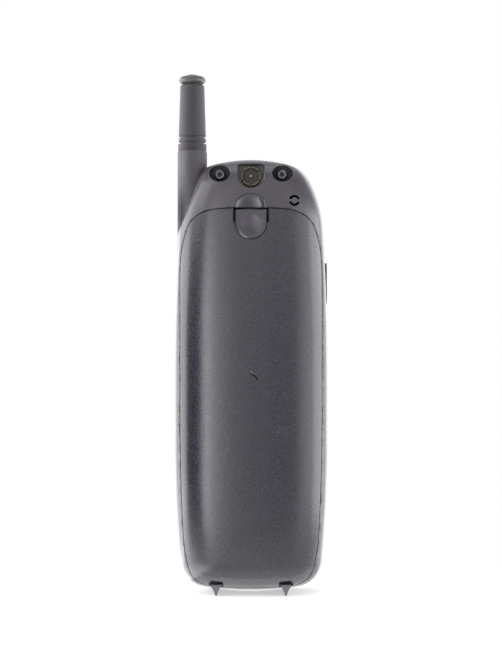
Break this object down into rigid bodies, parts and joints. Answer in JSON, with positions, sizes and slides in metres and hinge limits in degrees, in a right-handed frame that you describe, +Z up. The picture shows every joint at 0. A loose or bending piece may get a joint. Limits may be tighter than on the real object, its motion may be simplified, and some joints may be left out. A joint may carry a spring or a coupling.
{
  "type": "flip phone",
  "caption": "Upright mobile phone with a hinged flip over its keys, a removable battery pack on its back, a pull-out aerial and two small keels to stand on.",
  "frame": {"origin": "middle of the two keel crests that the phone stands on, below the middle of its thickness and width", "axes": "+Z up the phone towards the aerial, +Y out of the back with the battery, -Y out of the face with the flip and keys, +X towards the side that carries the aerial"},
  "size_m": [0.052, 0.0262, 0.1751],
  "materials": {
    "shell_plastic": "fine moulded grain, charcoal",
    "panel_plastic": "smooth charcoal",
    "tray_plastic": "plain black",
    "lens_clear": "clear acrylic with a dark border",
    "lcd_cell": "grey green display",
    "light_guide": "milky acrylic",
    "frame_plastic": "white moulding",
    "board_laminate": "solder mask",
    "shield_tin": "tinned sheet",
    "silicone": "soft translucent grey",
    "dome_film": "polyester film with metal domes",
    "speaker_mesh": "black acoustic cloth",
    "weight_metal": "sintered metal",
    "socket_nickel": "nickel plate",
    "socket_insulator": "dark dielectric",
    "gilt_contacts": "gold flash",
    "aerial_sleeve": "semi-matte moulded sleeve",
    "aerial_coil": "bright wire",
    "aerial_cap": "worn rounded tip",
    "spring_steel": "drawn wire",
    "screw_steel": "plated head",
    "cell_can": "drawn cans",
    "magnet": "nickel plate",
    "key_plastic": "translucent grey caps with white legends"
  },
  "bodies": {
    "phone": {"rear_housing": "shell_plastic", "front_housing": "shell_plastic", "contact_block": "tray_plastic", "accessory_connector": "tray_plastic", "whip_tube": "tray_plastic", "display_lens": "lens_clear", "lcd_glass": "lcd_cell", "backlight_guide": "light_guide", "lcd_frame": "frame_plastic", "earpiece_speaker": "frame_plastic", "main_board": "board_laminate", "rf_shield": "shield_tin", "logic_shield": "shield_tin", "ringer": "shield_tin", "vibrator_motor": "shield_tin", "microphone": "shield_tin", "keypad_membrane": "silicone", "mic_boot": "silicone", "dome_sheet": "dome_film", "earpiece_mesh": "speaker_mesh", "rf_connector_shell": "socket_nickel", "antenna_ferrule": "socket_nickel", "rf_connector_insulator": "socket_insulator", "rf_connector_pin": "gilt_contacts", "accessory_contacts": "gilt_contacts", "battery_springs": "gilt_contacts", "antenna_stub": "aerial_sleeve", "antenna_helix": "aerial_coil", "flip_hinge_pins": "spring_steel", "housing_screws": "screw_steel"},
    "flip": {"flip_cover": "shell_plastic", "flip_inner_panel": "panel_plastic", "flip_magnet": "magnet"},
    "battery": {"battery_cover": "shell_plastic", "battery_tray": "tray_plastic", "battery_cells": "cell_can", "battery_contacts": "gilt_contacts", "latch_pin": "spring_steel"},
    "latch": {"battery_latch": "shell_plastic", "latch_spring": "spring_steel"},
    "aerial_rod": {"antenna_whip": "spring_steel", "antenna_cap": "aerial_cap", "whip_stop": "spring_steel"},
    "rocker": {"volume_rocker": "shell_plastic"},
    "buzzer_weight": {"vibrator_weight": "weight_metal"},
    "key_1_cap": {"key_1": "key_plastic"},
    "key_2_cap": {"key_2": "key_plastic"},
    "key_3_cap": {"key_3": "key_plastic"},
    "key_4_cap": {"key_4": "key_plastic"},
    "key_5_cap": {"key_5": "key_plastic"},
    "key_6_cap": {"key_6": "key_plastic"},
    "key_7_cap": {"key_7": "key_plastic"},
    "key_8_cap": {"key_8": "key_plastic"},
    "key_9_cap": {"key_9": "key_plastic"},
    "key_star_cap": {"key_star": "key_plastic"},
    "key_0_cap": {"key_0": "key_plastic"},
    "key_hash_cap": {"key_hash": "key_plastic"},
    "key_send_cap": {"key_send": "key_plastic"},
    "key_menu_cap": {"key_menu": "key_plastic"},
    "key_end_cap": {"key_end": "key_plastic"}
  },
  "joints": [
    {"name": "flip_hinge", "type": "hinge", "parent": "phone", "child": "flip", "pos_m": [0, -0.0095, 0.0068], "axis": [1, 0, 0], "range_deg": [0, 145]},
    {"name": "battery_tilt", "type": "hinge", "parent": "phone", "child": "battery", "pos_m": [0, 0.0098, 0.0025], "axis": [-1, 0, 0], "range_deg": [0, 15]},
    {"name": "latch_press", "type": "hinge", "parent": "battery", "child": "latch", "pos_m": [0, 0.0109, 0.12195], "axis": [1, 0, 0], "range_deg": [0, 8], "stiffness_Nm_per_rad": 0.05, "springref_deg": -2.86},
    {"name": "aerial_slide", "type": "slide", "parent": "phone", "child": "aerial_rod", "axis": [0, 0, 1], "range_m": [0, 0.1]},
    {"name": "volume_rock", "type": "hinge", "parent": "phone", "child": "rocker", "pos_m": [-0.02242, -0.004, 0.1045], "axis": [0, 1, 0], "range_deg": [-2.5, 2.5], "stiffness_Nm_per_rad": 0.05},
    {"name": "weight_spin", "type": "hinge", "parent": "phone", "child": "buzzer_weight", "pos_m": [0.0086, -0.00055, 0.0176], "axis": [1, 0, 0], "continuous": true},
    {"name": "key_1_press", "type": "slide", "parent": "phone", "child": "key_1_cap", "axis": [0, 1, 0], "range_m": [0, 0.0006], "stiffness_N_per_m": 800, "springref_m": -0.0003},
    {"name": "key_2_press", "type": "slide", "parent": "phone", "child": "key_2_cap", "axis": [0, 1, 0], "range_m": [0, 0.0006], "stiffness_N_per_m": 800, "springref_m": -0.0003},
    {"name": "key_3_press", "type": "slide", "parent": "phone", "child": "key_3_cap", "axis": [0, 1, 0], "range_m": [0, 0.0006], "stiffness_N_per_m": 800, "springref_m": -0.0003},
    {"name": "key_4_press", "type": "slide", "parent": "phone", "child": "key_4_cap", "axis": [0, 1, 0], "range_m": [0, 0.0006], "stiffness_N_per_m": 800, "springref_m": -0.0003},
    {"name": "key_5_press", "type": "slide", "parent": "phone", "child": "key_5_cap", "axis": [0, 1, 0], "range_m": [0, 0.0006], "stiffness_N_per_m": 800, "springref_m": -0.0003},
    {"name": "key_6_press", "type": "slide", "parent": "phone", "child": "key_6_cap", "axis": [0, 1, 0], "range_m": [0, 0.0006], "stiffness_N_per_m": 800, "springref_m": -0.0003},
    {"name": "key_7_press", "type": "slide", "parent": "phone", "child": "key_7_cap", "axis": [0, 1, 0], "range_m": [0, 0.0006], "stiffness_N_per_m": 800, "springref_m": -0.0003},
    {"name": "key_8_press", "type": "slide", "parent": "phone", "child": "key_8_cap", "axis": [0, 1, 0], "range_m": [0, 0.0006], "stiffness_N_per_m": 800, "springref_m": -0.0003},
    {"name": "key_9_press", "type": "slide", "parent": "phone", "child": "key_9_cap", "axis": [0, 1, 0], "range_m": [0, 0.0006], "stiffness_N_per_m": 800, "springref_m": -0.0003},
    {"name": "key_star_press", "type": "slide", "parent": "phone", "child": "key_star_cap", "axis": [0, 1, 0], "range_m": [0, 0.0006], "stiffness_N_per_m": 800, "springref_m": -0.0003},
    {"name": "key_0_press", "type": "slide", "parent": "phone", "child": "key_0_cap", "axis": [0, 1, 0], "range_m": [0, 0.0006], "stiffness_N_per_m": 800, "springref_m": -0.0003},
    {"name": "key_hash_press", "type": "slide", "parent": "phone", "child": "key_hash_cap", "axis": [0, 1, 0], "range_m": [0, 0.0006], "stiffness_N_per_m": 800, "springref_m": -0.0003},
    {"name": "key_send_press", "type": "slide", "parent": "phone", "child": "key_send_cap", "axis": [0, 1, 0], "range_m": [0, 0.0006], "stiffness_N_per_m": 800, "springref_m": -0.0003},
    {"name": "key_menu_press", "type": "slide", "parent": "phone", "child": "key_menu_cap", "axis": [0, 1, 0], "range_m": [0, 0.0006], "stiffness_N_per_m": 800, "springref_m": -0.0003},
    {"name": "key_end_press", "type": "slide", "parent": "phone", "child": "key_end_cap", "axis": [0, 1, 0], "range_m": [0, 0.0006], "stiffness_N_per_m": 800, "springref_m": -0.0003}
  ]
}
